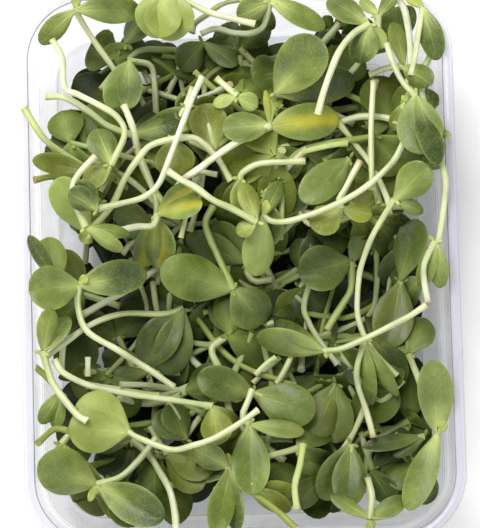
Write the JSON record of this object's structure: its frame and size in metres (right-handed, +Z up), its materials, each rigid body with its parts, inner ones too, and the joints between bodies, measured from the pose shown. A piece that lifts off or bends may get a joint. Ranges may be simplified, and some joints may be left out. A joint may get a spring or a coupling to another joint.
{
  "type": "sunflower microgreens tray",
  "caption": "Clear rounded rectangular tray with a flanged rim, filled with a loose heap of cut sunflower shoots, each a pale stem with a pair of oval seed leaves.",
  "frame": {"origin": "middle of the tray's underside", "axes": "+X across the tray, +Y along its length, +Z up out of its mouth"},
  "size_m": [0.147, 0.189, 0.0633],
  "materials": {
    "tray": "clear thermoformed plastic, glossy",
    "shoot": "fresh plant, satin green seed leaves on pale stems",
    "clump": "fresh plant in the shade of the heap, satin green"
  },
  "bodies": {
    "root": {"tray": "tray", "clump_1": "clump", "clump_2": "clump", "clump_3": "clump", "clump_4": "clump", "clump_5": "clump", "clump_6": "clump", "clump_7": "clump", "shoot_01": "shoot", "shoot_02": "shoot", "shoot_03": "shoot", "shoot_04": "shoot", "shoot_05": "shoot", "shoot_06": "shoot", "shoot_07": "shoot", "shoot_08": "shoot", "shoot_09": "shoot", "shoot_10": "shoot", "shoot_11": "shoot", "shoot_12": "shoot", "shoot_13": "shoot", "shoot_14": "shoot", "shoot_15": "shoot", "shoot_16": "shoot", "shoot_17": "shoot", "shoot_18": "shoot", "shoot_19": "shoot", "shoot_20": "shoot", "shoot_21": "shoot", "shoot_22": "shoot", "shoot_23": "shoot", "shoot_24": "shoot", "shoot_25": "shoot", "shoot_26": "shoot", "shoot_27": "shoot", "shoot_28": "shoot", "shoot_29": "shoot", "shoot_30": "shoot", "shoot_31": "shoot", "shoot_32": "shoot", "shoot_33": "shoot", "shoot_34": "shoot", "shoot_35": "shoot", "shoot_36": "shoot", "shoot_37": "shoot", "shoot_38": "shoot", "shoot_39": "shoot", "shoot_40": "shoot", "shoot_41": "shoot", "shoot_42": "shoot", "shoot_43": "shoot", "shoot_44": "shoot", "shoot_45": "shoot", "shoot_46": "shoot", "shoot_47": "shoot", "shoot_48": "shoot", "shoot_49": "shoot", "shoot_50": "shoot", "shoot_51": "shoot", "shoot_52": "shoot"}
  },
  "joints": []
}
